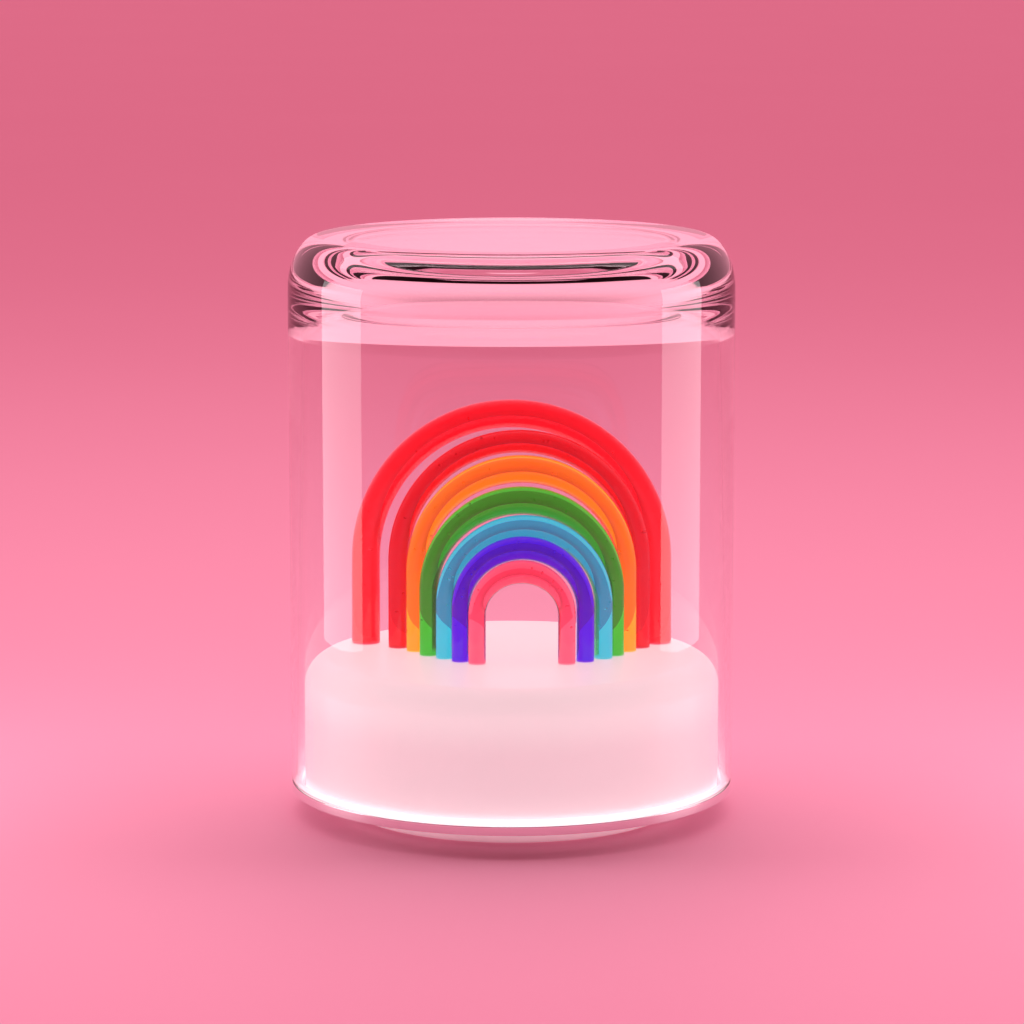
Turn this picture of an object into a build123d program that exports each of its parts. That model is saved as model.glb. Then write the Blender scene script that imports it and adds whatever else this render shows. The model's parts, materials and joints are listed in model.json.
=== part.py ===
from build123d import *
import os
from math import cos, radians, sin, sqrt

# A table lamp: seven bent glass rods make a rainbow on a glowing opal base, under a clear glass dome.
# Millimetres. The origin is on the table at the lamp's centre, +Z is up, and the front faces -Y.
os.makedirs("parts", exist_ok=True)

# Clearances
lift_gap = 0.3          # between the base and what lifts off it
slip_gap = 0.15         # between a piece and the seat that it drops into
press_gap = 0.05        # around a pin or light pipe pushed into its hole
shadow_gap = 0.1        # how far the clear gasket stands above the metal ring

# Foot: a shallow moulded tray that stands on a soft ring
foot_radius = 48.4
foot_height = 6.2
foot_lift = 0.6         # the tray's underside above the table
foot_wall = 2.4
foot_floor = 2.0
foot_edge = 0.6         # rounded lower edge
pad_width = 7.6
pad_groove = 1.0        # depth of the groove that the soft ring is glued into

# Polished metal ring that carries the dome
ring_floor = 1.0        # thickness under the diffuser
ring_height = 2.5       # height of the bright band outside
gasket_width = 2.8
gasket_margin = 0.6     # metal left outside the gasket's groove
gasket_groove = 0.7     # depth of the groove
gasket_lip_width = 0.9
gasket_lip_height = 1.4

# Clear glass dome, thick at the top and thin at the rim, as pressed glass is
dome_radius = 65.0
dome_height = 160.3
dome_wall_at_rim = 1.9
dome_wall_at_shoulder = 4.5
dome_roof = 9.7
dome_rim_edge = 0.7     # both edges of the rim are ground back by this
shoulder_width = 9.2    # outer shoulder, measured along the radius
shoulder_drop = 15.8    # outer shoulder, measured down from the top
inner_corner_width = 16.0
inner_corner_drop = 20.0

# Opal diffuser
diffuser_top = 47.0     # height of its flat top above the table
diffuser_wall = 2.6
diffuser_shoulder = 7.8
diffuser_heel = 3.4     # rounding where the wall turns in at the bottom
diffuser_lip = 6.7      # how far the heel turns in
rod_pocket = 0.8        # depth of the pockets that the rods are glued into
ear_radius = 2.6        # screw ears inside the diffuser's heel
ear_height = 7.0
ear_inset = 3.7         # from the diffuser's outside to the middle of an ear
ear_count = 3
ear_first_angle = 30.0

# The seven rods, from the back to the front:
# name, centre across, centre in depth, outer width at the feet, height, thickness at foot and at crown
rainbow = [
    ("arch_red", 0.0, 17.2, 96.0, 73.2, 8.6, 8.3),
    ("arch_ruby", 2.3, 9.9, 77.8, 65.1, 6.2, 6.7),
    ("arch_amber", 2.9, 3.9, 67.9, 58.4, 6.0, 8.2),
    ("arch_green", 3.0, -2.8, 60.0, 50.1, 5.6, 8.2),
    ("arch_sky", 3.7, -7.6, 51.5, 42.4, 5.4, 7.0),
    ("arch_violet", 3.3, -12.6, 41.4, 36.9, 5.2, 6.9),
    ("arch_pink", 3.0, -16.6, 31.0, 30.5, 5.1, 6.8),
]
bend_stations = 15      # sections that shape a rod's half circle

# Chassis plate inside the diffuser
chassis_thickness = 2.0
chassis_boss_radius = 3.5
chassis_boss_height = 6.0
pillar_radius = 3.0
pillar_inset = 8.0      # from the drum's outside to the middle of a pillar
pillar_count = 3

# Light engine: a white drum with a band of lamps round it and a lamp board on top
drum_radius = 44.0
drum_height = 24.0
drum_wall = 2.0
strip_width = 10.0
strip_thickness = 0.3
strip_height = 9.0      # lower edge of the strip above the chassis
chip_across = 3.5
chip_high = 2.8
chip_deep = 0.8
strip_chips = 24
board_thickness = 1.2
crown_inner_radius = 14.0
crown_margin = 1.0      # the board's rim inside the drum's
crown_chip_inset = 3.5
crown_chips = 18

# Battery cell, lying across the middle of the drum
cell_diameter = 18.4
cell_length = 65.2
cell_edge = 0.8
cell_cap_radius = 3.2
cell_cap_length = 1.5
cradle_wall = 1.6
cradle_height = 9.0
contact_thickness = 0.6
contact_width = 12.0
contact_height = 14.0
contact_dimple = 2.0

# Control board in the foot, with the charging socket at the back
control_thickness = 1.0
control_width = 34.0
control_front = -16.0
control_inset = 7.4     # from the foot's outside to the board's back edge
control_corner = 2.0
tab_width = 13.0
tab_inset = 3.4         # from the foot's outside to the end of the tab
post_inset = 3.0        # posts inside the board's sides and front edge
post_back_inset = 9.0
post_radius = 2.4
board_screw_radius = 1.0
board_screw_head_radius = 1.9
board_screw_head = 0.8
board_screw_grip = 2.0

# Charger, driver, coil and small parts under the control board:
# place across, distance from its back edge, width, length, height
components = [
    (-9.0, 32.0, 5.0, 5.0, 0.9),
    (9.0, 33.0, 4.0, 4.0, 1.0),
    (-8.0, 21.0, 6.0, 3.0, 0.8),
    (9.0, 22.0, 5.2, 5.2, 1.6),
    (0.0, 15.0, 4.0, 4.0, 0.8),
    (-9.0, 9.0, 2.0, 3.4, 0.7),
    (6.0, 8.0, 1.6, 2.6, 0.6),
    (-3.0, 7.0, 1.6, 2.6, 0.6),
]

# Charging socket
inlet_width = 8.94
inlet_height = 3.26
inlet_length = 7.3
inlet_shell = 0.3
inlet_tongue_width = 6.7
inlet_tongue_thickness = 0.7
inlet_tongue_length = 5.4
inlet_recess = 0.4      # the mouth lies this far inside the foot's outer wall
light_pipe_radius = 1.0
light_pipe_length = 4.2
light_pipe_offset = 8.6

# Power button under the foot
button_radius = 6.8
button_recess = 0.3     # its face above the foot's underside
button_travel = 0.5
button_flange = 1.4     # how far the retaining flange reaches past the cap
button_flange_thickness = 0.7
button_dish = 0.4       # finger recess in its face, and the chamfer round it
switch_size = 6.0
switch_body = 1.0
switch_plunger_radius = 1.7
switch_plunger = 0.5

# Screws
foot_screw_inset = 7.0  # from the drum's outside to the middle of a foot screw
foot_screw_count = 4
foot_screw_radius = 1.4
foot_screw_head_radius = 2.6
foot_screw_head = 1.5
foot_boss_radius = 3.4
foot_screw_grip = 4.5
ring_screw_radius = 1.2
ring_screw_head_radius = 1.9
ring_screw_head = 1.4
ring_screw_grip = 5.0
crown_screw_radius = 1.2
crown_screw_head_radius = 2.3
crown_screw_head = 1.3
crown_screw_grip = 6.0
socket_depth = 0.6      # hexagon socket in every screw head
socket_share = 0.5      # across the flats, as a share of the head

# Flat lead from the control board up to the lamp board
lead_width = 6.0
lead_thickness = 0.8
lead_across = 12.0
lead_inset = 16.0       # from the control board's back edge
lead_tab = 4.0

# Heights of the stack, worked out from the table up
ring_bottom = foot_lift + foot_height
ring_top = ring_bottom + ring_height
diffuser_bottom = ring_bottom + ring_floor
chassis_top = diffuser_bottom + chassis_thickness
gasket_bottom = ring_top - gasket_groove
rim_height = ring_top + shadow_gap
dome_top = rim_height + dome_height
roof_height = dome_top - dome_roof
foot_floor_top = foot_lift + foot_floor
groove_roof = foot_lift + pad_groove
switch_tip = foot_floor_top + button_flange_thickness + shadow_gap + button_travel + slip_gap
control_bottom = switch_tip + switch_plunger + switch_body
control_top = control_bottom + control_thickness
drum_top = chassis_top + drum_height
crown_bottom = drum_top
crown_top = crown_bottom + board_thickness
cell_height = chassis_top + cradle_wall + slip_gap + cell_diameter / 2

# Radii worked out from what they sit against
gasket_outer_radius = dome_radius - gasket_margin
gasket_inner_radius = gasket_outer_radius - gasket_width
dome_inner_at_rim = dome_radius - dome_wall_at_rim
dome_inner_at_shoulder = dome_radius - dome_wall_at_shoulder
ring_seat_radius = gasket_inner_radius - gasket_margin
ring_inner_radius = foot_radius - foot_wall
diffuser_radius = ring_seat_radius - lift_gap
diffuser_lip_radius = diffuser_radius - diffuser_lip
ear_circle = diffuser_radius - ear_inset
chassis_radius = min(diffuser_lip_radius, ear_circle - ear_radius) - lift_gap
pillar_circle = drum_radius - pillar_inset
crown_outer_radius = drum_radius - crown_margin
crown_chip_circle = crown_outer_radius - crown_chip_inset
foot_screw_circle = drum_radius - foot_screw_inset
pad_inner_radius = foot_screw_circle - pad_width / 2
pad_outer_radius = foot_screw_circle + pad_width / 2

# Places on the control board, worked out from the foot that it lies in
control_back = foot_radius - control_inset
tab_back = foot_radius - tab_inset
post_across = control_width / 2 - post_inset
post_depths = (control_front + post_inset, control_back - post_back_inset)
board_posts = [(side * post_across, depth) for side in (-1, 1) for depth in post_depths]
lead_place = (lead_across, control_back - lead_inset)


def turned(outline):
    """Spin a closed half section, drawn as radius across and height up, about the lamp's axis."""
    return revolve(Plane.XZ * outline, Axis.Z)


def rounded(section, corners):
    """Round corners of a flat section; each is its place and its radius."""
    for across, up, radius in corners:
        nearest = section.vertices().sort_by_distance((across, up))[0]
        section = fillet(nearest, radius)
    return section


def ring_solid(inner, outer, bottom, height):
    """A flat ring or, with no inner radius, a disc, standing on the given height."""
    body = Pos(0, 0, bottom + height / 2) * Cylinder(outer, height)
    if inner > 0:
        body -= Pos(0, 0, bottom + height / 2) * Cylinder(inner, height * 2)
    return body


def post(across, depth, radius, bottom, top):
    """An upright round post between two heights."""
    return Pos(across, depth, (bottom + top) / 2) * Cylinder(radius, top - bottom)


def slab(across, depth, width, length, bottom, top):
    """An upright block centred on a place in plan."""
    return Pos(across, depth, (bottom + top) / 2) * Box(width, length, top - bottom)


def on_circle(radius, count, first=0.0):
    """Places evenly spaced round the lamp's axis, with the angle of each."""
    angles = [first + 360.0 * i / count for i in range(count)]
    return [(radius * cos(radians(a)), radius * sin(radians(a)), a) for a in angles]


def screw(across, depth, seat, down, head_radius, head, shank_radius, grip):
    """A button-head screw with a hexagon socket; down is +1 when the shank points down from the seat."""
    flats = head_radius * socket_share
    body = post(across, depth, head_radius, seat, seat + head)
    rim = body.edges().group_by(Axis.Z)[-1]
    body = chamfer(rim, head / 4)
    body -= Pos(across, depth, seat + head - socket_depth) * extrude(RegularPolygon(flats, 6), socket_depth)
    body += post(across, depth, shank_radius, seat - grip, seat)
    if down < 0:
        body = body.rotate(Axis((across, depth, seat), (1, 0, 0)), 180)
    return body


pillar_places = on_circle(pillar_circle, pillar_count, 90.0)
foot_screw_places = on_circle(foot_screw_circle, foot_screw_count, 45.0)
ear_places = on_circle(ear_circle, ear_count, ear_first_angle)


def rod(across, depth, width, height, foot, crown):
    """One bent glass rod: straight legs, and a half circle that swells from the feet to the crown."""
    bend_radius = (width - foot) / 2
    centre = diffuser_top + height - crown / 2 - bend_radius
    seat = diffuser_top - rod_pocket
    sections = []
    for i in range(bend_stations):
        turn = 180.0 * i / (bend_stations - 1)
        swell = sin(radians(turn)) ** 2
        radius = (foot + (crown - foot) * swell) / 2
        place = (across + bend_radius * cos(radians(turn)), depth, centre + bend_radius * sin(radians(turn)))
        along = (-sin(radians(turn)), 0, cos(radians(turn)))
        sections.append(Plane(place, x_dir=(0, 1, 0), z_dir=along) * Circle(radius))
    body = loft(sections, ruled=True)
    for side in (-1, 1):
        body += post(across + side * bend_radius, depth, foot / 2, seat, centre)
    return body


def glass_dome():
    """Clear cover: a closed cylinder whose wall thickens upward to a heavy, flat, round-shouldered top."""
    outer_side = dome_top - shoulder_drop
    outer_flat = dome_radius - shoulder_width
    inner_side = roof_height - inner_corner_drop
    inner_flat = dome_inner_at_shoulder - inner_corner_width
    outline = [
        Line((dome_inner_at_rim, rim_height), (dome_radius, rim_height)),
        Line((dome_radius, rim_height), (dome_radius, outer_side)),
        EllipticalCenterArc((outer_flat, outer_side), shoulder_width, shoulder_drop, 0, arc_size=90),
        Line((outer_flat, dome_top), (0, dome_top)),
        Line((0, dome_top), (0, roof_height)),
        Line((0, roof_height), (inner_flat, roof_height)),
        EllipticalCenterArc((inner_flat, inner_side), inner_corner_width, inner_corner_drop, 0, arc_size=90),
        Line((dome_inner_at_shoulder, inner_side), (dome_inner_at_rim, rim_height)),
    ]
    section = make_face(outline)
    rim = section.vertices().group_by(Axis.Y)[0]
    return turned(chamfer(rim, dome_rim_edge))


def dome_gasket():
    """Clear soft ring in the metal ring's groove; its lip centres the dome from inside."""
    inner = gasket_inner_radius
    outer = gasket_outer_radius
    lip = inner + gasket_lip_width
    lip_top = rim_height + gasket_lip_height
    outline = Polyline(
        (inner, gasket_bottom), (outer, gasket_bottom), (outer, rim_height),
        (lip, rim_height), (lip, lip_top), (inner, lip_top), close=True)
    return turned(make_face(outline))


def seat_ring():
    """Polished metal ring: the bright band outside, a groove for the gasket and a thin floor inside."""
    outline = Polyline(
        (ring_inner_radius, ring_bottom), (dome_radius, ring_bottom), (dome_radius, ring_top),
        (gasket_outer_radius, ring_top), (gasket_outer_radius, gasket_bottom),
        (gasket_inner_radius, gasket_bottom), (gasket_inner_radius, ring_top - shadow_gap),
        (ring_seat_radius, ring_top - shadow_gap), (ring_seat_radius, diffuser_bottom),
        (ring_inner_radius, diffuser_bottom), close=True)
    body = turned(make_face(outline))
    body = chamfer(body.edges().group_by(Axis.Z)[0].sort_by(SortBy.LENGTH)[-1], gasket_margin / 3)
    for across, depth, _ in ear_places:
        body -= post(across, depth, ring_screw_radius + slip_gap, ring_bottom - 1, ring_top)
    return body


def diffuser():
    """Opal cap: one moulded wall with a wide rounded shoulder, a heel turned in, pockets and screw ears."""
    low, high, outer = diffuser_bottom, diffuser_top, diffuser_radius
    inner = outer - diffuser_wall
    outline = Polyline(
        (diffuser_lip_radius, low), (outer, low), (outer, high), (0, high),
        (0, high - diffuser_wall), (inner, high - diffuser_wall), (inner, low + diffuser_wall),
        (diffuser_lip_radius, low + diffuser_wall), close=True)
    section = rounded(make_face(outline), [(outer, low, diffuser_heel), (outer, high, diffuser_shoulder)])
    inner_shoulder = section.vertices().sort_by_distance((inner, high - diffuser_wall))[0]
    body = turned(chamfer(inner_shoulder, diffuser_shoulder / 2))
    for across, depth, _ in ear_places:
        body += post(across, depth, ear_radius, low + diffuser_wall / 2, low + ear_height)
    for across, depth, _ in ear_places:
        body -= post(across, depth, ring_screw_radius, low - 1, low + ring_screw_grip)
    for _, across, depth, width, _, foot, _ in rainbow:
        for side in (-1, 1):
            leg = across + side * (width - foot) / 2
            body -= post(leg, depth, foot / 2 + slip_gap, high - rod_pocket, high + 1)
    return body


def chassis():
    """Plate that closes the diffuser, with pillars for the drum and bosses for the foot screws."""
    body = ring_solid(0, chassis_radius, diffuser_bottom, chassis_thickness)
    for across, depth, _ in pillar_places:
        body += post(across, depth, pillar_radius, chassis_top, drum_top - drum_wall)
        body -= post(across, depth, crown_screw_radius, crown_top - crown_screw_grip, drum_top)
    for across, depth, _ in foot_screw_places:
        body += post(across, depth, chassis_boss_radius, chassis_top, chassis_top + chassis_boss_height)
        body -= post(across, depth, foot_screw_radius, diffuser_bottom - 1, diffuser_bottom + foot_screw_grip)
    across, depth = lead_place
    slot_width = lead_width + 2 * lift_gap
    slot_depth = lead_thickness + 2 * lift_gap
    body -= slab(across, depth, slot_width, slot_depth, diffuser_bottom - 1, chassis_top + 1)
    return body


def light_drum():
    """White reflector drum, open at the bottom, screwed to the chassis pillars through the lamp board."""
    body = ring_solid(0, drum_radius, chassis_top, drum_height)
    body = chamfer(body.edges().group_by(Axis.Z)[-1], drum_wall / 4)
    body -= ring_solid(0, drum_radius - drum_wall, chassis_top - 1, drum_height + 1 - drum_wall)
    for across, depth, _ in pillar_places:
        body -= post(across, depth, crown_screw_radius + slip_gap, chassis_top, drum_top + 1)
    body -= lead_slot(drum_top - drum_wall - 1, drum_top + 1)
    return body


def lead_slot(bottom, top):
    """Hole that lets the flat lead rise through the drum and the lamp board."""
    across, depth = lead_place
    return slab(across, depth, lead_width + 2 * lift_gap, lead_thickness + 2 * lift_gap, bottom, top)


def drum_led_strip():
    """Thin flexible strip wrapped once round the drum."""
    inner = drum_radius + press_gap
    return ring_solid(inner, inner + strip_thickness, chassis_top + strip_height, strip_width)


def drum_leds():
    """Small white lamp packages round the strip, facing out."""
    face = drum_radius + press_gap + strip_thickness
    flat = sqrt(face ** 2 + (chip_across / 2) ** 2)
    middle = chassis_top + strip_height + strip_width / 2
    chips = []
    for across, depth, angle in on_circle(flat + chip_deep / 2, strip_chips):
        place = Location((across, depth, middle), (0, 0, angle))
        chips.append(place * Box(chip_deep, chip_across, chip_high))
    return Compound(children=chips)


def crown_board():
    """Ring-shaped lamp board on top of the drum; it lights the diffuser's shoulder from below."""
    body = ring_solid(crown_inner_radius, crown_outer_radius, crown_bottom, board_thickness)
    for across, depth, _ in pillar_places:
        body -= post(across, depth, crown_screw_radius + slip_gap, crown_bottom - 1, crown_top + 1)
    body -= lead_slot(crown_bottom - 1, crown_top + 1)
    return body


def crown_leds():
    """Lamp packages in a circle near the board's rim, facing up."""
    chips = []
    for across, depth, angle in on_circle(crown_chip_circle, crown_chips):
        place = Location((across, depth, crown_top + chip_deep / 2), (0, 0, angle))
        chips.append(place * Box(chip_high, chip_across, chip_deep))
    return Compound(children=chips)


def crown_screws():
    """Screws that clamp the lamp board and the drum to the chassis pillars."""
    return Compound(children=[
        screw(across, depth, crown_top, 1, crown_screw_head_radius, crown_screw_head,
              crown_screw_radius - press_gap, crown_screw_grip - slip_gap)
        for across, depth, _ in pillar_places])


def battery_cell():
    """Rechargeable cell lying along X, with its raised positive cap."""
    radius = cell_diameter / 2
    can_length = cell_length - cell_cap_length
    can = Pos(-cell_cap_length / 2, 0, cell_height) * Rot(0, 90, 0) * Cylinder(radius, can_length)
    can = chamfer(can.edges().filter_by(GeomType.CIRCLE), cell_edge)
    cap = Pos(can_length / 2, 0, cell_height) * Rot(0, 90, 0) * Cylinder(cell_cap_radius, cell_cap_length)
    return can + cap


def battery_cradle():
    """Moulded trough that holds the cell, with end walls, contact slots and finger cut-outs."""
    inside = cell_length + 2 * (contact_thickness + 2 * slip_gap)
    width = cell_diameter + 2 * cradle_wall
    length = inside + 2 * cradle_wall
    top = chassis_top + cradle_height
    body = slab(0, 0, length, width, chassis_top, top)
    trough = Rot(0, 90, 0) * Cylinder(cell_diameter / 2 + slip_gap, inside)
    body -= Pos(0, 0, cell_height) * trough
    body -= slab(0, 0, inside / 3, width + 1, chassis_top + cradle_wall, top + 1)
    for side in (-1, 1):
        pocket = contact_thickness + 2 * slip_gap
        place = side * (inside - pocket) / 2
        body -= slab(place, 0, pocket, contact_width + 2 * slip_gap, chassis_top + cradle_wall, top + 1)
    return body


def battery_contacts():
    """Two bent-metal contact plates, one at each end of the cell, each with a pressed dimple."""
    plates = []
    bottom = chassis_top + cradle_wall
    for side in (-1, 1):
        place = side * (cell_length / 2 + slip_gap + contact_thickness / 2)
        plate = slab(place, 0, contact_thickness, contact_width, bottom, bottom + contact_height)
        corners = plate.edges().filter_by(Axis.X).group_by(Axis.Z)[-1]
        plate = fillet(corners, contact_width / 4)
        dimple = Rot(0, 90, 0) * Cylinder(contact_dimple, contact_thickness + slip_gap)
        plates.append(plate + Pos(place, 0, cell_height) * dimple)
    return Compound(children=plates)


def control_board():
    """Board in the foot that charges the cell and dims the lamps; a tab at the back carries the socket."""
    length = control_back - control_front
    middle = (control_back + control_front) / 2
    body = slab(0, middle, control_width, length, control_bottom, control_top)
    body = fillet(body.edges().filter_by(Axis.Z), control_corner)
    tab_length = tab_back - middle
    body += slab(0, middle + tab_length / 2, tab_width, tab_length, control_bottom, control_top)
    for across, depth in board_posts:
        body -= post(across, depth, board_screw_radius + slip_gap, control_bottom - 1, control_top + 1)
    return body


def board_components():
    """Charger, driver, coil and small parts under the control board."""
    return Compound(children=[
        slab(across, control_back - inset, width, length, control_bottom - height, control_bottom)
        for across, inset, width, length, height in components])


def button_switch():
    """Low tactile switch under the board, drawn with its plunger pressed home."""
    body_bottom = control_bottom - switch_body
    body = slab(0, 0, switch_size, switch_size, body_bottom, control_bottom)
    return body + post(0, 0, switch_plunger_radius, body_bottom - switch_plunger, body_bottom)


def board_screws():
    """Small screws that hold the control board to its posts."""
    return Compound(children=[
        screw(across, depth, control_top, 1, board_screw_head_radius, board_screw_head,
              board_screw_radius - press_gap, control_thickness + board_screw_grip - slip_gap)
        for across, depth in board_posts])


def inlet_shape(grow):
    """Rounded mouth of the socket in the X-Z plane, grown by a margin."""
    return Plane.XZ * SlotOverall(inlet_width + 2 * grow, inlet_height + 2 * grow)


def charge_inlet():
    """Charging socket: a round-ended metal shell with a tongue, lying under the board's tab."""
    mouth = foot_radius - inlet_recess
    centre = control_bottom - inlet_height / 2
    shell = extrude(inlet_shape(0), -inlet_length)
    shell -= extrude(inlet_shape(-inlet_shell), -(inlet_length - inlet_shell))
    tongue = Pos(0, inlet_length - inlet_shell / 2 - inlet_tongue_length / 2, 0)
    shell += tongue * Box(inlet_tongue_width, inlet_tongue_length, inlet_tongue_thickness)
    return Pos(0, mouth, centre) * Rot(0, 0, 180) * shell


def charge_light_pipe():
    """Clear pin beside the socket that shows the charge light."""
    outer = foot_radius - inlet_recess
    centre = control_bottom - inlet_height / 2
    place = sqrt(outer ** 2 - light_pipe_offset ** 2) - light_pipe_length / 2
    pipe = Rot(90, 0, 0) * Cylinder(light_pipe_radius, light_pipe_length)
    return Pos(light_pipe_offset, place, centre) * pipe


def led_lead():
    """Flat lead: it rises from the control board through the drum and turns onto the lamp board."""
    across, depth = lead_place
    top = crown_top + lead_thickness
    body = slab(across, depth, lead_width, lead_thickness, control_top, top)
    body += slab(across, depth - lead_tab / 2, lead_width, lead_tab, crown_top, top)
    outside = body.edges().filter_by(Axis.X).sort_by_distance((across, depth + lead_thickness, top + 1))[0]
    return fillet(outside, lead_thickness * 0.6)


def foot_cup():
    """Moulded tray: groove for the soft ring, posts and bosses inside, openings for button and socket."""
    low = foot_lift
    body = ring_solid(0, foot_radius, low, foot_height)
    body = chamfer(body.edges().group_by(Axis.Z)[0], foot_edge)
    body -= ring_solid(0, foot_radius - foot_wall, foot_floor_top, foot_height)
    for across, depth, _ in foot_screw_places:
        body += post(across, depth, foot_boss_radius, foot_floor_top - 0.5, diffuser_bottom)
    for across, depth in board_posts:
        body += post(across, depth, post_radius, foot_floor_top - 0.5, control_bottom)
        body -= post(across, depth, board_screw_radius, control_bottom - board_screw_grip, control_bottom + 1)
    body -= ring_solid(pad_inner_radius, pad_outer_radius, low - 1, pad_groove + 1)
    for across, depth, _ in foot_screw_places:
        body -= post(across, depth, foot_screw_head_radius + slip_gap, low - 1, groove_roof + foot_screw_head)
        body -= post(across, depth, foot_screw_radius + slip_gap, low, diffuser_bottom + 1)
    body -= post(0, 0, button_radius + lift_gap, low - 1, foot_floor_top + 0.1)
    centre = control_bottom - inlet_height / 2
    reach = 1 + inlet_recess + inlet_length + slip_gap
    body -= Pos(0, foot_radius + 1, centre) * Rot(0, 0, 180) * extrude(inlet_shape(slip_gap), -reach)
    pipe = Pos(light_pipe_offset, foot_radius, centre) * Rot(90, 0, 0)
    return body - pipe * Cylinder(light_pipe_radius + press_gap, 4 * foot_wall)


def foot_pad():
    """Soft ring that the lamp stands on; it also hides the foot screws."""
    body = ring_solid(pad_inner_radius + press_gap, pad_outer_radius - press_gap, 0, groove_roof)
    return chamfer(body.edges().group_by(Axis.Z)[0], foot_lift / 2)


def foot_screws():
    """Screws that pull the tray, the metal ring and the chassis together."""
    seat = groove_roof + foot_screw_head
    grip = diffuser_bottom + foot_screw_grip - seat
    return Compound(children=[
        screw(across, depth, seat, -1, foot_screw_head_radius, foot_screw_head,
              foot_screw_radius - press_gap, grip - slip_gap)
        for across, depth, _ in foot_screw_places])


def ring_screws():
    """Screws under the metal ring that hold the diffuser down by its ears."""
    grip = ring_floor + ring_screw_grip
    return Compound(children=[
        screw(across, depth, ring_bottom, -1, ring_screw_head_radius, ring_screw_head,
              ring_screw_radius - press_gap, grip - slip_gap)
        for across, depth, _ in ear_places])


def power_button():
    """Round push button in the foot's underside, kept in by a flange and pressed upward."""
    face = foot_lift + button_recess
    flange_bottom = foot_floor_top + shadow_gap
    nub_top = switch_tip - slip_gap - button_travel
    body = post(0, 0, button_radius, face, flange_bottom)
    body = chamfer(body.edges().group_by(Axis.Z)[0], button_dish)
    body -= post(0, 0, button_radius * 0.6, face - 1, face + button_dish)
    return body + post(0, 0, button_radius + button_flange, flange_bottom, nub_top)


builders = [
    glass_dome, dome_gasket, seat_ring, diffuser, chassis, light_drum, drum_led_strip, drum_leds,
    crown_board, crown_leds, crown_screws, battery_cell, battery_cradle, battery_contacts,
    control_board, board_components, button_switch, board_screws, charge_inlet, charge_light_pipe,
    led_lead, foot_cup, foot_pad, foot_screws, ring_screws, power_button,
]

for build in builders:
    export_step(build(), "parts/" + build.__name__ + ".step")
for name, *sizes in rainbow:
    export_step(rod(*sizes), "parts/" + name + ".step")

print("nodes", len(builders) + len(rainbow))
print("dome top", round(dome_top, 2), "rim", round(rim_height, 2), "roof underside", round(roof_height, 2))
print("chassis top", chassis_top, "lamp board", crown_bottom, crown_top, "cell", round(cell_height, 2))
print("control board", round(control_bottom, 2), round(control_top, 2), "chassis underside", diffuser_bottom)
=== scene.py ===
# %% [markdown]
# # A rainbow lamp under glass
# The lamp is seven bent glass rods on a glowing opal base, with a clear glass dome over them. The
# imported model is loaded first. It is the fixed frame: every new surface takes its place and size
# from it, so that the glass stays where the construction has it.

import json
import math

import bpy
import numpy as np
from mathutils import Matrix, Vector


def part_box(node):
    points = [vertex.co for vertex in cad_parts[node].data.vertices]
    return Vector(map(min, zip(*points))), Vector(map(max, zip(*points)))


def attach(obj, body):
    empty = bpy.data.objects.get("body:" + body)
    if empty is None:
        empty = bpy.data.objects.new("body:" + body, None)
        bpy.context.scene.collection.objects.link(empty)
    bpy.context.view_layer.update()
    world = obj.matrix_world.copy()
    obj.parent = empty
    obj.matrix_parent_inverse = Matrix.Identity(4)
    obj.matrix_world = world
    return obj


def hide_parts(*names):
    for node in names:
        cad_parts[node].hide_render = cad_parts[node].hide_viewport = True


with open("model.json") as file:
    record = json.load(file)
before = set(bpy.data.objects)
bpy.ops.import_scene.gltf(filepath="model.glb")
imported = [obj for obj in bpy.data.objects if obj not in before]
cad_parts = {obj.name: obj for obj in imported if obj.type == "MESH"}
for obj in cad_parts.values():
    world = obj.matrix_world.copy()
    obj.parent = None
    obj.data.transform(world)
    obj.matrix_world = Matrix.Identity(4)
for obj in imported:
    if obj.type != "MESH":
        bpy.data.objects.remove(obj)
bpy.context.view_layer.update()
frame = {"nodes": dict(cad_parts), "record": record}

# %% [markdown]
# ## The camera
# A view is only comparable with the photograph when the camera stands in the same place. The
# dome's outline was measured: its top ellipse is flat and its bottom ellipse is deep, so the
# camera is far away, above the lamp and looking down a little. Distances are counted in dome
# radii.

# %% Place the camera
dome_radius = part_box("glass_dome")[1].x
camera_distance = 18.0 * dome_radius
camera_height = 4.3054 * dome_radius
camera_tilt = 0.1623
focal_pixels = 4045.8
frame_pixels = 1024
centre_column = 511.5

camera_data = bpy.data.cameras.new("camera")
camera_data.sensor_width = 36.0
camera_data.lens = camera_data.sensor_width * focal_pixels / frame_pixels
camera_data.shift_x = (frame_pixels / 2 - centre_column) / frame_pixels
camera_data.clip_start = 0.05
camera_data.clip_end = 60.0
camera = bpy.data.objects.new("camera", camera_data)
bpy.context.scene.collection.objects.link(camera)
camera.location = (0, -camera_distance, camera_height)
camera.rotation_euler = (math.pi / 2 - camera_tilt, 0, 0)
bpy.context.scene.camera = camera
bpy.context.scene.view_settings.view_transform = "Standard"
print("lens", round(camera_data.lens, 1), "mm")

# %% [markdown]
# ## Surfaces from two parameters
# Everything round here is a grid: one parameter runs round, the other runs along. A grid is quick
# to compute as whole arrays, and its faces are even, which matters for glass, because a pinched
# face shows as a dent in every refraction.

# %% Faces of grids, and how they become meshes
def grid_faces(rows, columns, close_rows=False):
    """Index quads of a grid: each face joins a point to its next row and its next column. The last
    column joins the first, and where the rows are closed the last row joins the first too."""
    i = np.arange(rows if close_rows else rows - 1)[:, None]
    j = np.arange(columns)[None, :]
    i2, j2 = (i + 1) % rows, (j + 1) % columns
    corners = [i * columns + j, i * columns + j2, i2 * columns + j2, i2 * columns + j]
    return np.stack(corners, -1).reshape(-1, 4)


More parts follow.
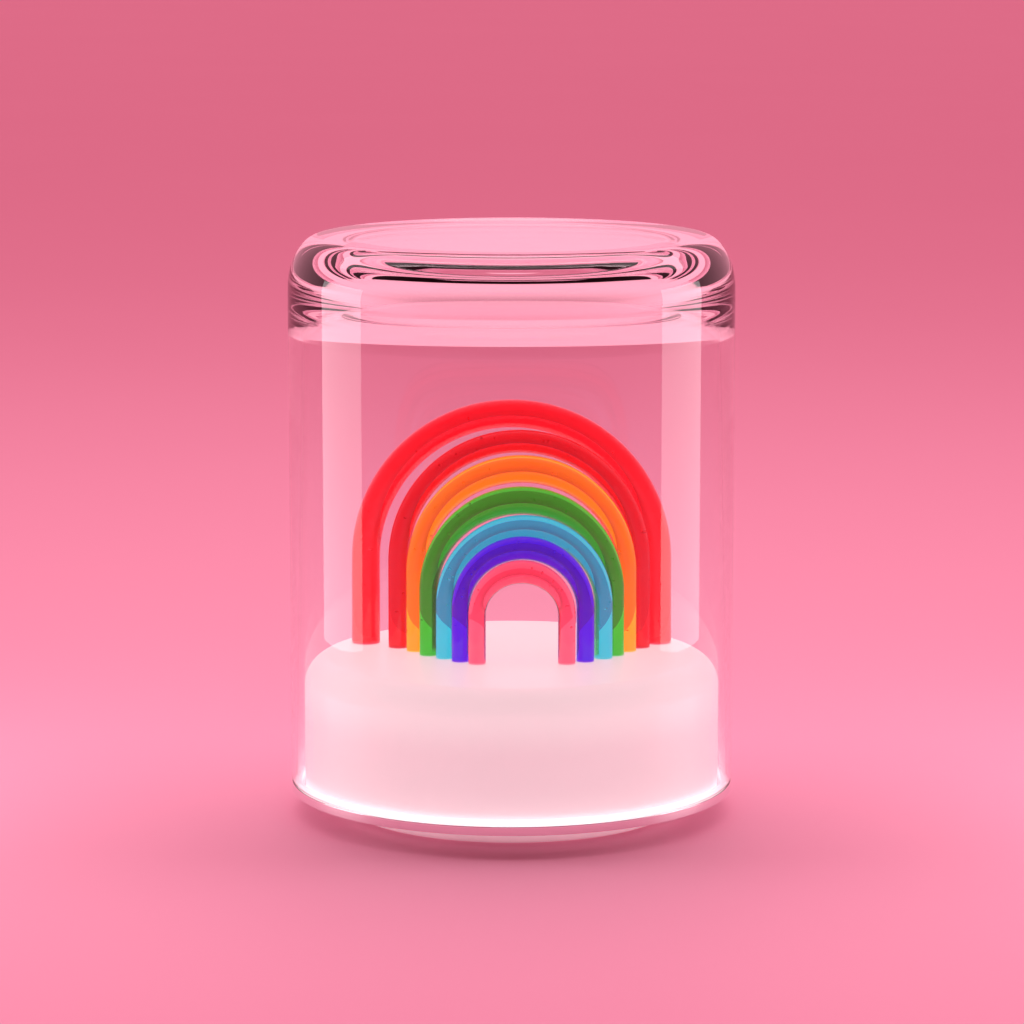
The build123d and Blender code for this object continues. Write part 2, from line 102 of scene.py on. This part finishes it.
def fan(ring, centre):
    """Triangles from the points of a ring, in their order, to one centre point."""
    ring = np.asarray(ring)
    return np.stack([ring, np.roll(ring, -1), np.full(len(ring), centre)], -1)


def tube_faces(rows, around):
    """A grid of rings with both its ends closed. The two centre points follow the grid's points."""
    count = rows * around
    first, last = np.arange(around), np.arange(count - around, count)
    return [grid_faces(rows, around), fan(first[::-1], count), fan(last, count + 1)]


def mesh_piece(name, points, face_sets, smooth=True):
    """Put arrays of points and faces into a mesh object in the scene."""
    mesh = bpy.data.meshes.new(name)
    faces = [face for group in face_sets for face in np.asarray(group).tolist()]
    mesh.from_pydata(np.asarray(points).tolist(), [], faces)
    mesh.polygons.foreach_set("use_smooth", np.full(len(mesh.polygons), smooth))
    mesh.update()
    piece = bpy.data.objects.new(name, mesh)
    bpy.context.scene.collection.objects.link(piece)
    return piece


print("one quad", grid_faces(2, 3)[0])

# %% [markdown]
# ## Profiles and turning
# Most of the lamp could come off a lathe. A profile is a list of radii and heights, put together
# from straight runs and quarter ellipses, and turning carries it about the Z axis.

# %% Parts of a profile, and the lathe
around_axis = 256
sharp_edge = math.radians(40)


def arc(centre, radii, start, end, steps):
    """Points of an ellipse: centre plus radii times cosine and sine, from one angle to another in
    degrees."""
    turn = np.radians(np.linspace(start, end, steps))
    return np.stack([centre[0] + radii[0] * np.cos(turn), centre[1] + radii[1] * np.sin(turn)], -1)


def along(start, end, steps):
    """Evenly spaced points of a straight run, without its last point."""
    share = np.linspace(0, 1, steps, endpoint=False)[:, None]
    return np.asarray(start) * (1 - share) + np.asarray(end) * share


def turned(name, profile, closed=False):
    """Spin a profile about the Z axis: x is radius times cosine, y is radius times sine. An open
    profile starts and ends on the axis and gets a pole there. A closed one is a ring."""
    profile = np.asarray(profile, float)
    core = profile if closed else profile[1:-1]
    radius, height = core[:, 0], core[:, 1:]
    turn = np.linspace(0, 2 * np.pi, around_axis, endpoint=False)
    places = [np.outer(radius, np.cos(turn)), np.outer(radius, np.sin(turn)),
              np.repeat(height, around_axis, 1)]
    points = np.stack(places, -1).reshape(-1, 3)
    if closed:
        faces = [grid_faces(len(core), around_axis, close_rows=True)]
    else:
        points = np.vstack([points, [[0, 0, profile[0, 1]], [0, 0, profile[-1, 1]]]])
        faces = tube_faces(len(core), around_axis)
    piece = mesh_piece(name, points, faces)
    piece.data.set_sharp_from_angle(angle=sharp_edge)
    return piece


print("quarter circle ends at", arc((0, 0), (1, 1), 0, 90, 3)[-1].round(3))

# %% [markdown]
# ## Shader sums written as sums
# A material is a small program. Wrapping an output socket in a class lets `noise * 0.2 + 0.4` add
# the two Math nodes by itself, and one method adds any other node, so each finish below reads as a
# recipe.

# %% The shader classes
class Flow:
    """One number or colour that flows through a material."""

    def __init__(self, shader, socket):
        self.shader, self.socket = shader, socket

    def sum(self, operation, other):
        return self.shader.add("ShaderNodeMath", {"operation": operation}, {0: self, 1: other})

    def __add__(self, other):
        return self.sum("ADD", other)

    def __mul__(self, other):
        return self.sum("MULTIPLY", other)

    __radd__ = __add__
    __rmul__ = __mul__


class Finish:
    """A material under construction, with its Principled shader and its Object coordinates."""

    def __init__(self, name, **constants):
        self.material = bpy.data.materials.new(name)
        self.material.use_nodes = True
        self.tree = self.material.node_tree
        self.shader = self.tree.nodes["Principled BSDF"]
        self.output = self.tree.nodes["Material Output"]
        self.set(**constants)
        self.place = self.add("ShaderNodeTexCoord", output="Object")

    def put(self, socket, value):
        """Link a flow to a socket, or write a plain value into it."""
        if isinstance(value, Flow):
            self.tree.links.new(value.socket, socket)
        elif isinstance(value, tuple) and len(value) == 3 and socket.type == "RGBA":
            socket.default_value = (*value, 1.0)
        else:
            socket.default_value = value

    def add(self, kind, settings=None, inputs=None, output=0):
        """Add a node of a type: its settings first, then its sockets, then wrap one output."""
        node = self.tree.nodes.new(kind)
        for key, value in (settings or {}).items():
            setattr(node, key, value)
        for key, value in (inputs or {}).items():
            self.put(node.inputs[key], value)
        return Flow(self, node.outputs[output])

    def noise(self, scale, detail=2.0, stretch=(1, 1, 1)):
        """Noise in object space. Stretch widens its grain along an axis."""
        narrow = tuple(1 / s for s in stretch)
        where = self.add("ShaderNodeMapping", inputs={"Vector": self.place, "Scale": narrow})
        values = {"Vector": where, "Scale": scale, "Detail": detail}
        return self.add("ShaderNodeTexNoise", inputs=values)

    def step(self, value, low, high):
        """Smoothly from 0 at low to 1 at high."""
        inputs = {"Value": value, "From Min": low, "From Max": high}
        return self.add("ShaderNodeMapRange", {"interpolation_type": "SMOOTHSTEP"}, inputs)

    def axis(self, name):
        """One coordinate of the place: X, Y or Z."""
        return self.add("ShaderNodeSeparateXYZ", inputs={0: self.place}, output=name)

    def blend(self, amount, first, second):
        """A colour between two colours."""
        values = {0: amount, 6: first, 7: second}
        return self.add("ShaderNodeMix", {"data_type": "RGBA"}, values, output=2)

    def bump(self, height, strength, distance):
        """Tilt the surface by a height pattern, without moving it."""
        values = {"Height": height, "Strength": strength, "Distance": distance}
        self.set(Normal=self.add("ShaderNodeBump", inputs=values))

    def set(self, **sockets):
        """Set sockets of the Principled shader by name."""
        for socket, value in sockets.items():
            self.put(self.shader.inputs[socket.replace("_", " ")], value)
        return self


def toward_white(colour, share):
    """A colour moved toward white: the share plus what is left of it times the colour."""
    return tuple(share + (1 - share) * v for v in colour)


def scaled(colour, factor):
    """A colour times a factor, with no channel over 1."""
    return tuple(min(1.0, factor * v) for v in colour)


def dress(piece, finish):
    """Give a piece one finish, in every material slot it has."""
    piece.data.materials.clear()
    piece.data.materials.append(finish.material)
    return piece


print("halfway to white", toward_white((0.0, 0.5, 1.0), 0.5))

# %% [markdown]
# ## Clear glass
# The dome is pressed glass, clear and colourless. Blender's Principled shader turns to glass with
# full transmission. Real pressed glass is not optically flat: it carries a slow waviness from the
# mould, so a very faint bump bends what is seen through it, and its tint drifts by a hair.

# %% The dome's finish
glass_index = 1.5
glass_wave = 0.0004


def dome_glass():
    glass = Finish("clear_glass", Roughness=0.0, IOR=glass_index, Transmission_Weight=1.0)
    drift = glass.noise(9.0, detail=1.0)
    glass.set(Base_Color=glass.blend(drift, (0.985, 0.992, 0.992), (1.0, 1.0, 1.0)))
    glass.bump(glass.noise(26.0, detail=1.0, stretch=(1, 1, 4)), 0.05, glass_wave)
    return glass


clear_glass = dome_glass()
print(clear_glass.material.name)

# %% [markdown]
# ## The dome
# The cover is one heavy piece: its wall is thin at the rim and thickens upward to a solid flat top
# with wide round shoulders. It could be a cylinder with a bevel and a Solidify modifier, but then
# the wall would be even. Spinning one profile gives the outside, the inside and the fire-polished
# rim their own curves, and those curves make the dark swirls in the shoulders.

# %% Spin the dome
rim_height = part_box("glass_dome")[0].z
dome_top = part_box("glass_dome")[1].z
wall_at_rim = 0.0019
wall_at_shoulder = 0.0045
dome_shoulder_width, dome_shoulder_drop = 0.0092, 0.0158
roof_thickness = 0.0097
inner_corner_width, inner_corner_drop = 0.016, 0.020
rim_round = 0.0009
wall_steps, roof_steps, shoulder_steps, rim_steps = 40, 24, 48, 8


def dome_profile():
    """The outline of the glass from axis to axis: along the ceiling, round the inner corner, down
    the tapered inside, round the rim, up the outside and over the shoulder to the middle."""
    outer, inner_low = dome_radius, dome_radius - wall_at_rim
    inner_high = dome_radius - wall_at_shoulder
    shoulder = (outer - dome_shoulder_width, dome_top - dome_shoulder_drop)
    roof = dome_top - roof_thickness
    corner = (inner_high - inner_corner_width, roof - inner_corner_drop)
    low = rim_height + rim_round
    return np.vstack([
        along((0, roof), (corner[0], roof), roof_steps),
        arc(corner, (inner_corner_width, inner_corner_drop), 90, 0, shoulder_steps),
        along((inner_high, corner[1]), (inner_low, low), wall_steps)[1:],
        arc((inner_low + rim_round, low), (rim_round, rim_round), 180, 270, rim_steps),
        arc((outer - rim_round, low), (rim_round, rim_round), -90, 0, rim_steps),
        along((outer, low), (outer, shoulder[1]), wall_steps)[1:],
        arc(shoulder, (dome_shoulder_width, dome_shoulder_drop), 0, 90, shoulder_steps),
        along((shoulder[0], dome_top), (0, dome_top), roof_steps)[1:],
        [[0, dome_top]],
    ])


dome = dress(turned("dome_clear", dome_profile()), clear_glass)
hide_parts("glass_dome")
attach(dome, "dome")
print("dome faces", len(dome.data.polygons))

# %% [markdown]
# ## Coloured rod glass
# Each rod is glass coloured all the way through, so a thick part is deep and an edge is light. A
# tint on the surface could not do that. The surface stays clear, and the colour is absorbed along
# the way inside: how much of red, green and blue is lost in one centimetre. The feet stand on the
# glowing base, and each rod also gets a faint painted glow in its own colour, emitted by its skin.
# It stands in for the base's light carried up the rod and out through the skin.

# %% Rod finishes
rod_loss_per_cm = {
    "red": (0.03, 6.5, 5.0),
    "ruby": (0.35, 11.0, 9.0),
    "amber": (0.02, 1.15, 10.0),
    "green": (8.0, 0.70, 6.5),
    "sky": (12.0, 0.60, 0.30),
    "violet": (5.5, 11.0, 0.25),
    "pink": (0.03, 2.7, 2.0),
}
# Colour of each rod's painted glow: emission standing in for base light carried up the glass.
rod_painted_glow = {
    "red": (1.0, 0.0, 0.01),
    "ruby": (0.7, 0.0, 0.0),
    "amber": (1.0, 0.22, 0.0),
    "green": (0.0, 0.45, 0.0),
    "sky": (0.0, 0.45, 0.70),
    "violet": (0.08, 0.0, 1.0),
    "pink": (0.9, 0.14, 0.20),
}
cm_per_metre = 100.0
# Strength of the rods' painted glow.
rod_painted_glow_strength = 0.09


def rod_glass(colour):
    """Clear skin over an absorbing body. The density is the largest of the three losses, and the
    body's colour is 1 minus loss divided by density."""
    loss = np.array(rod_loss_per_cm[colour]) * cm_per_metre
    density = float(loss.max())
    kept = tuple(float(v) for v in 1 - loss / density)
    skin, painted_glow_colour = toward_white(kept, 0.45), rod_painted_glow[colour]
    glass = Finish("rod_glass_" + colour, Roughness=0.0, IOR=glass_index, Transmission_Weight=1.0)
    cord = glass.noise(60.0, detail=1.0)
    glass.set(Base_Color=glass.blend(cord, skin, toward_white(skin, 0.2)))
    # Painted glow: the skin emits the rod's colour, streaked by the cord pattern.
    glass.set(Emission_Color=glass.blend(cord, scaled(painted_glow_colour, 0.7), painted_glow_colour))
    glass.set(Emission_Strength=rod_painted_glow_strength)
    glass.bump(glass.noise(110.0, detail=1.0, stretch=(1, 1, 3)), 0.04, glass_wave)
    absorb = glass.add("ShaderNodeVolumeAbsorption", inputs={"Color": kept, "Density": density})
    glass.put(glass.output.inputs["Volume"], absorb)
    return glass


rod_finishes = {colour: rod_glass(colour) for colour in rod_loss_per_cm}
print("rod finishes", ", ".join(rod_finishes))

# %% [markdown]
# ## The rods
# A rod is a circle carried along a centre line: up one leg, round a half circle, down the other.
# Bending over a flame gathers glass at the crown, so the circle swells there and stays thin at the
# feet. It could be a curve with a bevel, but the swelling is easier to state as a formula.

# %% The centre line of a rod
rod_thickness = {
    "red": (0.0086, 0.0083),
    "ruby": (0.0062, 0.0067),
    "amber": (0.0060, 0.0082),
    "green": (0.0056, 0.0082),
    "sky": (0.0054, 0.0070),
    "violet": (0.0052, 0.0069),
    "pink": (0.0051, 0.0068),
}
leg_stations, bend_stations = 14, 97


def rod_path(low, high, foot, crown):
    """Places, outward directions and radii along a rod: straight up, a half circle about the
    springing height, straight down. The radius grows from foot to crown with the square of the
    turn's sine."""
    centre, depth = (low.x + high.x) / 2, (low.y + high.y) / 2
    bend = (high.x - low.x - foot) / 2
    spring = high.z - crown / 2 - bend
    leg = np.full(leg_stations, 1.0)
    rise = np.linspace(low.z, spring, leg_stations, endpoint=False)
    turn = np.linspace(0, np.pi, bend_stations)
    x = np.r_[bend * leg, bend * np.cos(turn), -bend * leg] + centre
    z = np.r_[rise, spring + bend * np.sin(turn), rise[::-1]]
    angle = np.r_[0 * leg, turn, np.pi * leg]
    radius = (foot + (crown - foot) * np.sin(angle) ** 2) / 2
    place = np.stack([x, np.full(len(x), depth), z], -1)
    outward = np.stack([np.cos(angle), np.zeros(len(x)), np.sin(angle)], -1)
    return place, outward, radius


print("stations on a rod", 2 * leg_stations + bend_stations)

# %% [markdown]
# ## Air in the glass
# Hand-drawn glass keeps small bubbles. They are hollows, so their faces point into the bubble. The
# random numbers start from a fixed seed, so every run has the same bubbles.

# %% Bubbles inside a rod
random = np.random.default_rng(7)
bubble_count = 16
bubble_rings, bubble_sides = 6, 10
bubble_share = (0.15, 0.72)
bubble_radius = (0.00012, 0.00036)
bubble_free_stations = 4
pole_gap = 0.12
depth_way = np.array([0, 1.0, 0])


def bubbles(place, outward, radius):
    """Small balls inside a tube, each at a random station, a random turn round the centre line and
    a random share of the tube's radius. A ball's points are sine of latitude times cosine and sine
    of longitude, and cosine of latitude."""
    stations = (bubble_free_stations, len(place) - bubble_free_stations)
    station = random.integers(*stations, bubble_count)
    spin = random.uniform(0, 2 * np.pi, bubble_count)
    share = random.uniform(*bubble_share, bubble_count)
    size = random.uniform(*bubble_radius, bubble_count)
    across = outward[station] * np.cos(spin)[:, None] + depth_way * np.sin(spin)[:, None]
    middle = place[station] + across * (radius[station] * share)[:, None]
    lat, lon = np.meshgrid(np.linspace(pole_gap, np.pi - pole_gap, bubble_rings),
                           np.linspace(0, 2 * np.pi, bubble_sides, endpoint=False), indexing="ij")
    ball = np.stack([np.sin(lat) * np.cos(lon), np.sin(lat) * np.sin(lon), np.cos(lat)], -1)
    return middle[:, None, :] + ball.reshape(-1, 3)[None] * size[:, None, None]


bubble_points = bubble_rings * bubble_sides
bubble_caps = np.arange(bubble_points).reshape(bubble_rings, -1)[[0, -1]]
bubble_caps[0] = bubble_caps[0][::-1]
print("bubbles in each rod", bubble_count)

# %% [markdown]
# ## Bending the seven rods
# Round each station of the centre line a circle is drawn, from the outward direction and the depth
# direction, and the circles become one closed tube with its bubbles inside.

# %% Bend the rods
around_rod = 40
rod_sharp_edge = math.radians(50)


def rod_piece(colour):
    """A tube: the place of a station plus its radius times cosine outward and sine in depth."""
    node = "arch_" + colour
    place, outward, radius = rod_path(*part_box(node), *rod_thickness[colour])
    turn = np.linspace(0, 2 * np.pi, around_rod, endpoint=False)
    side = np.cos(turn)[None, :, None] * outward[:, None, :]
    front = np.sin(turn)[None, :, None] * depth_way[None, None, :]
    tube = (place[:, None, :] + (side + front) * radius[:, None, None]).reshape(-1, 3)
    balls = bubbles(place, outward, radius)
    points = np.vstack([tube, place[[0, -1]], balls.reshape(-1, 3)])
    faces = tube_faces(len(place), around_rod)
    for number in range(bubble_count):
        start = len(tube) + 2 + number * bubble_points
        faces += [grid_faces(bubble_rings, bubble_sides) + start, bubble_caps + start]
    piece = mesh_piece("rod_" + colour, points, faces)
    piece.data.set_sharp_from_angle(angle=rod_sharp_edge)
    dress(piece, rod_finishes[colour])
    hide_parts(node)
    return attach(piece, "base")


rods = [rod_piece(colour) for colour in rod_thickness]
print("rod faces", [len(rod.data.polygons) for rod in rods])

# %% [markdown]
# ## Glowing opal
# The base is opal plastic, lit from inside by lamps round a drum and by a ring of lamps under its
# shoulder. The light inside could be traced, but a few millimetres of opal scatter it so well that
# only a slow change is left: brightest over the shoulder, a little pinker down the wall. The
# finish glows by height, which is the same from every side.

# %% The opal finish
base_low, base_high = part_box("diffuser")
opal_strength = 0.64
shoulder_glow_start, shoulder_glow_full = 0.020, 0.007
heel_glow_height = 0.012


def opal_glow():
    opal = Finish("opal_glow", Roughness=0.42, IOR=1.46)
    height, mottle = opal.axis("Z"), opal.noise(45.0, detail=3.0)
    top = base_high.z
    shoulder = opal.step(height, top - shoulder_glow_start, top - shoulder_glow_full)
    heel = opal.step(height, base_low.z + heel_glow_height, base_low.z)
    glow = opal.blend(shoulder, (0.90, 0.70, 0.74), (1.0, 0.86, 0.88))
    glow = opal.blend(heel * 0.7, glow, (0.98, 0.80, 0.83))
    opal.set(Base_Color=opal.blend(mottle, (0.93, 0.80, 0.82), (0.96, 0.83, 0.85)))
    opal.set(Emission_Color=glow, Emission_Strength=opal_strength)
    opal.set(Roughness=mottle * 0.12 + 0.36)
    opal.bump(opal.noise(2600.0), 0.10, 0.00003)
    return opal


opal = opal_glow()
print("opal nodes", len(opal.tree.nodes))

# %% [markdown]
# ## The base
# The base is a moulded cap: a flat top, a wide round shoulder, a straight wall and a heel that
# turns in under it. Only the outside shows, but a shell that glows needs its inside too, so the
# profile goes round both.

# %% Spin the base
base_shoulder = 0.0078
heel_radius = 0.0034
opal_wall = 0.0026
lip_radius = 0.054


def base_profile():
    """The outline of the cap from axis to axis: along the ceiling, round the inner shoulder and
    down the inside to the turned-in lip, then round the heel, up the wall, over the wide shoulder
    and along the flat top."""
    outer, low, high = base_high.x, base_low.z, base_high.z
    inner, roof = outer - opal_wall, high - opal_wall
    bend = (outer - base_shoulder, high - base_shoulder)
    inner_round = base_shoulder - opal_wall
    return np.vstack([
        along((0, roof), (bend[0], roof), 6),
        arc(bend, (inner_round, inner_round), 90, 0, 16),
        [[inner, low + opal_wall], [lip_radius, low + opal_wall], [lip_radius, low]],
        arc((outer - heel_radius, low + heel_radius), (heel_radius, heel_radius), -90, 0, 16),
        arc(bend, (base_shoulder, base_shoulder), 0, 90, 32),
        along((bend[0], high), (0, high), 10)[1:],
        [[0, high]],
    ])


base = dress(turned("base_opal", base_profile()), opal)
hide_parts("diffuser")
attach(base, "base")
print("base faces", len(base.data.polygons))

# %% [markdown]
# ## Metal, soft and moulded parts
# The bright band is polished metal. Polished metal is almost all reflection, so its finish only
# needs very faint marks. The foot is a pale moulded tray, the pad under it is soft, and the parts
# inside get the plain finishes of their trades.

# %% Kinds of finish
def polished_metal():
    metal = Finish("polished_metal", Metallic=1.0)
    marks = metal.noise(900.0, detail=3.0, stretch=(40, 40, 1))
    metal.set(Base_Color=metal.blend(marks, (0.86, 0.84, 0.85), (0.93, 0.92, 0.92)))
    metal.set(Roughness=marks * 0.05 + 0.04)
    metal.bump(marks, 0.04, 0.00002)
    return metal


def moulded(name, colour, rough=0.45):
    """Moulded plastic or rubber: a fine spark-eroded grain, and a slow drift of shade and gloss."""
    plastic = Finish(name)
    drift = plastic.noise(35.0, detail=3.0)
    plastic.set(Base_Color=plastic.blend(drift, scaled(colour, 0.93), scaled(colour, 1.04)))
    plastic.set(Roughness=drift * 0.16 + (rough - 0.08))
    plastic.bump(plastic.noise(1800.0), 0.25, 0.00003)
    return plastic


def plated(name, colour, rough):
    """Plated sheet or screw steel: dull metal with fine scratches."""
    steel = Finish(name, Metallic=1.0)
    scratch = steel.noise(1400.0, detail=4.0, stretch=(1, 6, 1))
    steel.set(Base_Color=steel.blend(scratch, scaled(colour, 0.85), colour))
    steel.set(Roughness=scratch * 0.2 + rough)
    steel.bump(scratch, 0.15, 0.00002)
    return steel


def clear_soft(name, colour, clear, glow=0.0):
    """Clear silicone or moulded acrylic: see-through or a little milky, with a satin skin. A glow
    above zero is painted light: the soft ring gets a painted glow in place of the light it takes
    from the glowing base beside it."""
    soft = Finish(name, IOR=1.43, Transmission_Weight=clear, Emission_Strength=glow)
    drift = soft.noise(60.0)
    # Colour of the painted glow, used when the glow is above zero.
    soft.set(Emission_Color=soft.blend(drift, (1.0, 0.66, 0.72), (1.0, 0.80, 0.84)))
    soft.set(Base_Color=soft.blend(drift, colour, (1.0, 1.0, 1.0)), Roughness=drift * 0.1 + 0.12)
    return soft


def foot_with_painted_glow():
    """A painted glow on the foot's tray: warm pink emission, brighter toward its top and a little
    patchy, in place of the light the foot gets from the lamp above it.
    """
    foot = moulded("foot_plastic", (0.94, 0.82, 0.84), rough=0.38)
    # Painted glow: stronger higher up the foot, with noise patches.
    painted_foot_glow = foot.step(foot.axis("Z"), -0.002, 0.006) * 0.62 + foot.noise(30.0) * 0.16
    painted_foot_glow_colour = foot.blend(painted_foot_glow, (0.0, 0.0, 0.0), (1.0, 0.62, 0.70))
    return foot.set(Emission_Color=painted_foot_glow_colour, Emission_Strength=1.0)


print("kinds of finish ready")

# %% [markdown]
# ## Dressing the parts that keep their shape
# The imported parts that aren't remade keep their own meshes. Each one names its material slot, so
# one table of finishes by slot dresses all of them.

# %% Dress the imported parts
finishes = {
    "polished_metal": polished_metal(),
    # The soft ring's glow of 0.5 is a painted glow, not a lamp.
    "clear_silicone": clear_soft("clear_silicone", (0.97, 0.95, 0.95), 0.55, glow=0.5),
    "light_pipe": clear_soft("light_pipe", (0.92, 0.94, 0.95), 1.0),
    "white_plastic": moulded("white_plastic", (0.86, 0.85, 0.83)),
    "foot_plastic": foot_with_painted_glow(),
    "foot_rubber": moulded("foot_rubber", (0.86, 0.76, 0.77), rough=0.75),
    "button_plastic": moulded("button_plastic", (0.95, 0.84, 0.86), rough=0.35),
    "strip_film": moulded("strip_film", (0.85, 0.80, 0.68), rough=0.5),
    "lamp_package": moulded("lamp_package", (0.95, 0.86, 0.45), rough=0.3),
    "board_laminate": moulded("board_laminate", (0.82, 0.86, 0.83), rough=0.35),
    "cell_sleeve": moulded("cell_sleeve", (0.10, 0.24, 0.52), rough=0.3),
    "chip_plastic": moulded("chip_plastic", (0.03, 0.03, 0.035), rough=0.5),
    "screw_steel": plated("screw_steel", (0.62, 0.62, 0.63), 0.3),
    "contact_plate": plated("contact_plate", (0.72, 0.70, 0.64), 0.25),
    "inlet_steel": plated("inlet_steel", (0.70, 0.70, 0.71), 0.2),
}
slot_of = {row["node"]: row["material_slot"] for row in frame["record"]["subparts"]}
dressed = [node for node, slot in slot_of.items() if slot in finishes]
for node in dressed:
    dress(frame["nodes"][node], finishes[slot_of[node]])
print("dressed", len(dressed), "of", len(slot_of))

# %% [markdown]
# ## The bright band
# The metal ring is turned, and its edges catch the light. It is spun again with small rounded
# edges where the construction has sharp ones, and stays inside the construction's own outline.

# %% Spin the ring
ring_low, ring_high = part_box("seat_ring")
edge_round = 0.00012
groove_inner, groove_outer, groove_floor = 0.0616, 0.0644, 0.0086
seat_radius, seat_height, ring_bore = 0.0610, 0.0078, 0.0460
land_drop = 0.0001


def rounded_loop(corners, radius, steps=5):
    """A closed outline with each corner cut back by the radius and rounded with a quadratic curve:
    (1 - t) squared times start, plus 2 t (1 - t) times corner, plus t squared times end."""
    corners = np.asarray(corners, float)
    before, after = np.roll(corners, 1, 0), np.roll(corners, -1, 0)
    to_before = (before - corners) / np.linalg.norm(before - corners, axis=1)[:, None]
    to_after = (after - corners) / np.linalg.norm(after - corners, axis=1)[:, None]
    start, end = corners + to_before * radius, corners + to_after * radius
    t = np.linspace(0, 1, steps)[None, :, None]
    middle = 2 * t * (1 - t) * corners[:, None]
    curve = (1 - t) ** 2 * start[:, None] + middle + t ** 2 * end[:, None]
    return curve.reshape(-1, 2)


land = ring_high.z - land_drop
ring_outline = [
    (ring_bore, ring_low.z), (ring_high.x, ring_low.z), (ring_high.x, ring_high.z),
    (groove_outer, ring_high.z), (groove_outer, groove_floor), (groove_inner, groove_floor),
    (groove_inner, land), (seat_radius, land), (seat_radius, seat_height), (ring_bore, seat_height),
]
ring = turned("ring_metal", rounded_loop(ring_outline, edge_round), closed=True)
dress(ring, finishes["polished_metal"])
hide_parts("seat_ring")
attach(ring, "base")
print("ring faces", len(ring.data.polygons))

# %% [markdown]
# ## The floor
# The lamp stands on a plain floor of matt rose paper, large enough to reach the horizon.

# %% Lay the floor
floor_half = 14.0
floor_drop = 0.0001


def stage_floor():
    corners = [(-1, -1), (1, -1), (1, 1), (-1, 1)]
    points = [(x * floor_half, y * floor_half, -floor_drop) for x, y in corners]
    floor = mesh_piece("floor", points, [[(0, 1, 2, 3)]], smooth=False)
    paper = Finish("floor_paper", Roughness=0.6)
    fibre = paper.noise(3.0)
    paper.set(Base_Color=paper.blend(fibre, (0.89, 0.39, 0.55), (0.91, 0.41, 0.57)))
    dress(floor, paper)


stage_floor()
print("floor", 2 * floor_half, "m across")

# %% [markdown]
# ## Lights
# Two soft panels stand beside the lamp, one on each side, and their mirror images are the long
# bright strips in the dome. One wide panel hangs overhead, a little behind. A panel seen through
# the glass would be a white patch in the picture, so all three are hidden from light that has come
# through glass: they light the lamp, and its outer surface mirrors them.

# %% Hang the lights
def soft_light(name, place, aim, size, radiance):
    """A rectangular light at a place, facing a point. Its power is pi times area times radiance."""
    data = bpy.data.lights.new(name, "AREA")
    data.shape = "RECTANGLE"
    data.size, data.size_y = size
    data.energy = math.pi * size[0] * size[1] * radiance
    light = bpy.data.objects.new(name, data)
    bpy.context.scene.collection.objects.link(light)
    light.location = place
    light.rotation_euler = (Vector(aim) - Vector(place)).to_track_quat("-Z", "Y").to_euler()
    light.visible_transmission = False


side_distance, side_depth, side_height = 0.3, -0.007, 0.105
for name, side in (("side_left", -1), ("side_right", 1)):
    place = (side * side_distance, side_depth, side_height)
    soft_light(name, place, (0, side_depth, side_height), (0.152, 0.20), 2.6)
soft_light("overhead", (0, 0.22, 1.0), (0, 0, 0.09), (3.2, 0.7), 1.25)
print("lights", len(bpy.data.lights))

# %% [markdown]
# ## Surroundings
# Clear glass shows what is round it. Behind the lamp the surroundings are a quiet rose, and they
# turn dark where the photographer stands, as in a studio: the thick shoulders bend that dark into
# swirls. Thick glass also needs many bounces before a ray comes out again.

# %% Colour the surroundings
front_colour, back_colour = (0.16, 0.03, 0.05, 1), (1.0, 0.36, 0.48, 1)
front_edge, back_edge = -0.6, 0.7
world_strength = 1.3


def surroundings():
    """World light that goes smoothly from one colour to the other along Y."""
    world = bpy.data.worlds.new("surroundings")
    world.use_nodes = True
    tree = world.node_tree
    place = tree.nodes.new("ShaderNodeTexCoord")
    split = tree.nodes.new("ShaderNodeSeparateXYZ")
    ramp = tree.nodes.new("ShaderNodeMapRange")
    blend = tree.nodes.new("ShaderNodeMix")
    ramp.interpolation_type, blend.data_type = "SMOOTHSTEP", "RGBA"
    ramp.inputs["From Min"].default_value = front_edge
    ramp.inputs["From Max"].default_value = back_edge
    blend.inputs[6].default_value, blend.inputs[7].default_value = front_colour, back_colour
    tree.links.new(place.outputs["Generated"], split.inputs[0])
    tree.links.new(split.outputs["Y"], ramp.inputs["Value"])
    tree.links.new(ramp.outputs[0], blend.inputs[0])
    tree.links.new(blend.outputs[2], tree.nodes["Background"].inputs["Color"])
    tree.nodes["Background"].inputs["Strength"].default_value = world_strength
    bpy.context.scene.world = world


surroundings()
cycles = bpy.context.scene.cycles
cycles.max_bounces = cycles.transmission_bounces = 40
cycles.glossy_bounces = 8
cycles.transparent_max_bounces = 24
print("bounces", cycles.max_bounces)
